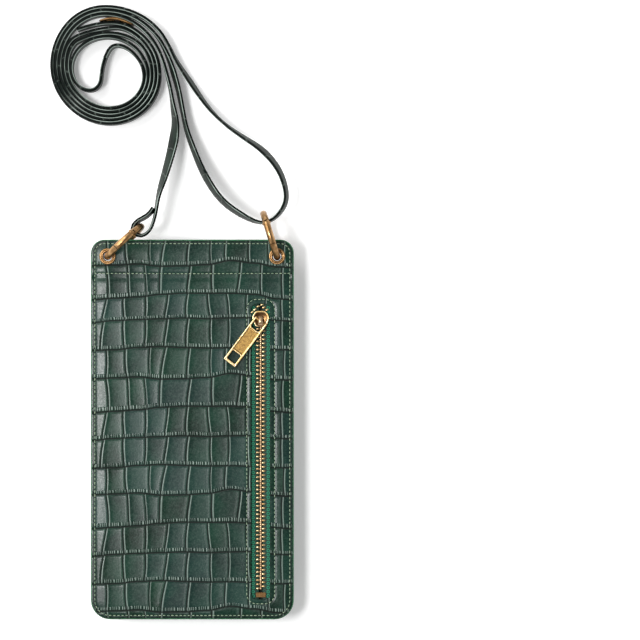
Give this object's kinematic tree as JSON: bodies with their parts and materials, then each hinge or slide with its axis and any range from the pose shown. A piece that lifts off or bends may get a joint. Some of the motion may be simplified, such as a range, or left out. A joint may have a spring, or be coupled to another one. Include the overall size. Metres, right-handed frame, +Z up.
{
  "type": "phone pouch",
  "caption": "Flat embossed-leather phone pouch lying zip side up, with a phone pocket under a snap tab, a zip pocket and a long strap coiled on its edge, held by gated rings.",
  "frame": {"origin": "on the floor, under the middle of the pouch and its rings (strap left out)", "axes": "+Y along the board towards the rings, +Z up through the zip side, +X to the zip's side"},
  "size_m": [0.1269, 0.3189, 0.0314],
  "materials": {
    "embossed_leather": "satin",
    "strap_leather": "satin",
    "lining": "matte",
    "zip_tape": "matte",
    "antique_brass": "aged"
  },
  "bodies": {
    "pouch": {"zip_panel": "embossed_leather", "pocket_panel": "embossed_leather", "top_reinforcement": "embossed_leather", "zip_pocket_lining": "lining", "eyelet_left": "antique_brass", "eyelet_washer_left": "antique_brass", "eyelet_right": "antique_brass", "eyelet_washer_right": "antique_brass", "zip_tape_left": "zip_tape", "zip_tape_right": "zip_tape", "zip_teeth_left": "antique_brass", "zip_teeth_right": "antique_brass", "zip_top_stops": "antique_brass", "zip_bottom_stop": "antique_brass", "phone_pocket": "embossed_leather", "snap_stud_base": "antique_brass", "snap_stud": "antique_brass", "tab_root": "embossed_leather", "strap_coil": "strap_leather", "strap_tail": "strap_leather", "strap_adjuster": "antique_brass", "strap_lead": "strap_leather", "strap_through_ring": "strap_leather"},
    "tab": {"closure_tab": "embossed_leather", "snap_cap": "antique_brass", "snap_socket": "antique_brass"},
    "slider": {"zip_slider": "antique_brass", "zip_slider_crown": "antique_brass"},
    "pull": {"zip_pull": "antique_brass"},
    "left_ring": {"ring_left": "antique_brass", "ring_left_gate_pin": "antique_brass"},
    "left_gate": {"ring_left_gate": "antique_brass"},
    "right_ring": {"ring_right": "antique_brass", "ring_right_gate_pin": "antique_brass"},
    "right_gate": {"ring_right_gate": "antique_brass"}
  },
  "joints": [
    {"name": "tab_open", "type": "hinge", "parent": "pouch", "child": "tab", "pos_m": [0, 0.06593, 0.0142], "axis": [1, 0, 0], "range_deg": [0, 120]},
    {"name": "zip_slide", "type": "slide", "parent": "pouch", "child": "slider", "axis": [0, -1, 0], "range_m": [0, 0.137]},
    {"name": "pull_lift", "type": "hinge", "parent": "slider", "child": "pull", "pos_m": [0.0354, 0.04843, 0.02175], "axis": [-0.7997, 0.6004, 0], "range_deg": [0, 120]},
    {"name": "left_ring_turn", "type": "hinge", "parent": "pouch", "child": "left_ring", "pos_m": [-0.03528, 0.08965, 0.018], "axis": [0.6691, -0.7431, 0], "range_deg": [-20, 10]},
    {"name": "left_gate_open", "type": "hinge", "parent": "left_ring", "child": "left_gate", "pos_m": [-0.03068, 0.0938, 0.02792], "axis": [0.6691, -0.7431, 0], "range_deg": [0, 25], "stiffness_Nm_per_rad": 0.01, "springref_deg": -17.19},
    {"name": "right_ring_turn", "type": "hinge", "parent": "pouch", "child": "right_ring", "pos_m": [0.04035, 0.09291, 0.018], "axis": [0.9537, 0.3007, 0], "range_deg": [-20, 10]},
    {"name": "right_gate_open", "type": "hinge", "parent": "right_ring", "child": "right_gate", "pos_m": [0.03849, 0.09882, 0.02792], "axis": [0.9537, 0.3007, 0], "range_deg": [0, 25], "stiffness_Nm_per_rad": 0.01, "springref_deg": -17.19}
  ]
}
